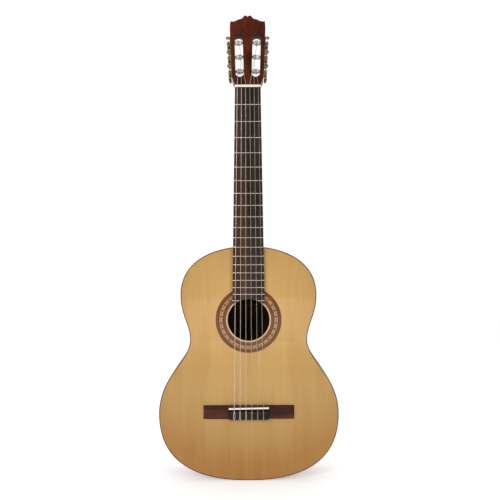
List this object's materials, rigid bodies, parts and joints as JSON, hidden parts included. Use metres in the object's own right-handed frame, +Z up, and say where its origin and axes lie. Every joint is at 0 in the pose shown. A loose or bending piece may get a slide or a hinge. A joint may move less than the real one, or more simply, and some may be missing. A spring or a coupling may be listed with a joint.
{
  "type": "classical guitar",
  "caption": "Full-size nylon-string guitar: hollow wooden body with soundhole, bridge, fretted neck and slotted head with worm-gear tuning machines.",
  "frame": {"origin": "middle of the tail end of the body, halfway through its depth", "axes": "+Z up the guitar from the tail to the head, +Y out of the back (the soundboard faces -Y), +X to the treble side"},
  "size_m": [0.3656, 0.1098, 0.9638],
  "materials": {
    "soundboard_wood": "gloss",
    "side_wood": "gloss",
    "back_wood": "gloss",
    "inner_wood": "matte",
    "dark_binding": "gloss",
    "rosette_inlay": "gloss",
    "bridge_wood": "satin",
    "neck_wood": "satin",
    "heel_cap_wood": "gloss",
    "fingerboard_wood": "satin",
    "head_veneer_wood": "gloss",
    "bone": "satin",
    "fret_metal": "polished",
    "tuner_brass": "satin",
    "button_plastic": "gloss",
    "roller_plastic": "satin",
    "wound_string": "satin",
    "nylon_string": "gloss"
  },
  "bodies": {
    "guitar": {"soundboard": "soundboard_wood", "rosette": "rosette_inlay", "soundboard_bracing": "inner_wood", "top_lining": "inner_wood", "top_binding": "dark_binding", "side_bass": "side_wood", "side_treble": "side_wood", "back_panel": "back_wood", "back_bracing": "inner_wood", "back_lining": "inner_wood", "back_binding": "dark_binding", "tail_block": "inner_wood", "neck_block": "inner_wood", "bridge": "bridge_wood", "saddle": "bone", "neck": "neck_wood", "heel_cap": "heel_cap_wood", "fingerboard": "fingerboard_wood", "nut": "bone", "head_veneer": "head_veneer_wood", "fret_01": "fret_metal", "fret_02": "fret_metal", "fret_03": "fret_metal", "fret_04": "fret_metal", "fret_05": "fret_metal", "fret_06": "fret_metal", "fret_07": "fret_metal", "fret_08": "fret_metal", "fret_09": "fret_metal", "fret_10": "fret_metal", "fret_11": "fret_metal", "fret_12": "fret_metal", "fret_13": "fret_metal", "fret_14": "fret_metal", "fret_15": "fret_metal", "fret_16": "fret_metal", "fret_17": "fret_metal", "fret_18": "fret_metal", "fret_19_bass": "fret_metal", "fret_19_treble": "fret_metal", "tuner_plate_bass": "tuner_brass", "tuner_plate_treble": "tuner_brass", "string_1": "nylon_string", "string_2": "nylon_string", "string_3": "nylon_string", "string_4": "wound_string", "string_5": "wound_string", "string_6": "wound_string"},
    "key_6": {"tuner_key_6": "button_plastic"},
    "roller_6": {"string_roller_6": "roller_plastic"},
    "key_5": {"tuner_key_5": "button_plastic"},
    "roller_5": {"string_roller_5": "roller_plastic"},
    "key_4": {"tuner_key_4": "button_plastic"},
    "roller_4": {"string_roller_4": "roller_plastic"},
    "key_3": {"tuner_key_3": "button_plastic"},
    "roller_3": {"string_roller_3": "roller_plastic"},
    "key_2": {"tuner_key_2": "button_plastic"},
    "roller_2": {"string_roller_2": "roller_plastic"},
    "key_1": {"tuner_key_1": "button_plastic"},
    "roller_1": {"string_roller_1": "roller_plastic"}
  },
  "joints": [
    {"name": "key_6_turn", "type": "hinge", "parent": "guitar", "child": "key_6", "pos_m": [-0.03667, -0.03379, 0.82868], "axis": [0, 0.9563, -0.2924], "continuous": true},
    {"name": "roller_6_turn", "type": "hinge", "parent": "guitar", "child": "roller_6", "pos_m": [-0.01606, -0.03132, 0.83673], "axis": [0.9988, 0.0143, 0.0469], "continuous": true},
    {"name": "key_5_turn", "type": "hinge", "parent": "guitar", "child": "key_5", "pos_m": [-0.03835, -0.02381, 0.86129], "axis": [0, 0.9563, -0.2924], "continuous": true},
    {"name": "roller_5_turn", "type": "hinge", "parent": "guitar", "child": "roller_5", "pos_m": [-0.01774, -0.02135, 0.86934], "axis": [0.9988, 0.0143, 0.0469], "continuous": true},
    {"name": "key_4_turn", "type": "hinge", "parent": "guitar", "child": "key_4", "pos_m": [-0.04002, -0.01384, 0.8939], "axis": [0, 0.9563, -0.2924], "continuous": true},
    {"name": "roller_4_turn", "type": "hinge", "parent": "guitar", "child": "roller_4", "pos_m": [-0.01941, -0.01138, 0.90195], "axis": [0.9988, 0.0143, 0.0469], "continuous": true},
    {"name": "key_3_turn", "type": "hinge", "parent": "guitar", "child": "key_3", "pos_m": [0.04002, -0.01384, 0.8939], "axis": [0, 0.9563, -0.2924], "continuous": true},
    {"name": "roller_3_turn", "type": "hinge", "parent": "guitar", "child": "roller_3", "pos_m": [0.01941, -0.01138, 0.90195], "axis": [0.9988, -0.0143, -0.0469], "continuous": true},
    {"name": "key_2_turn", "type": "hinge", "parent": "guitar", "child": "key_2", "pos_m": [0.03835, -0.02381, 0.86129], "axis": [0, 0.9563, -0.2924], "continuous": true},
    {"name": "roller_2_turn", "type": "hinge", "parent": "guitar", "child": "roller_2", "pos_m": [0.01774, -0.02135, 0.86934], "axis": [0.9988, -0.0143, -0.0469], "continuous": true},
    {"name": "key_1_turn", "type": "hinge", "parent": "guitar", "child": "key_1", "pos_m": [0.03667, -0.03379, 0.82868], "axis": [0, 0.9563, -0.2924], "continuous": true},
    {"name": "roller_1_turn", "type": "hinge", "parent": "guitar", "child": "roller_1", "pos_m": [0.01606, -0.03132, 0.83673], "axis": [0.9988, -0.0143, -0.0469], "continuous": true}
  ],
  "couplings": [
    {"joint": "roller_6_turn", "follows": "key_6_turn", "ratio": -0.071429},
    {"joint": "roller_5_turn", "follows": "key_5_turn", "ratio": -0.071429},
    {"joint": "roller_4_turn", "follows": "key_4_turn", "ratio": -0.071429},
    {"joint": "roller_3_turn", "follows": "key_3_turn", "ratio": -0.071429},
    {"joint": "roller_2_turn", "follows": "key_2_turn", "ratio": -0.071429},
    {"joint": "roller_1_turn", "follows": "key_1_turn", "ratio": -0.071429}
  ]
}
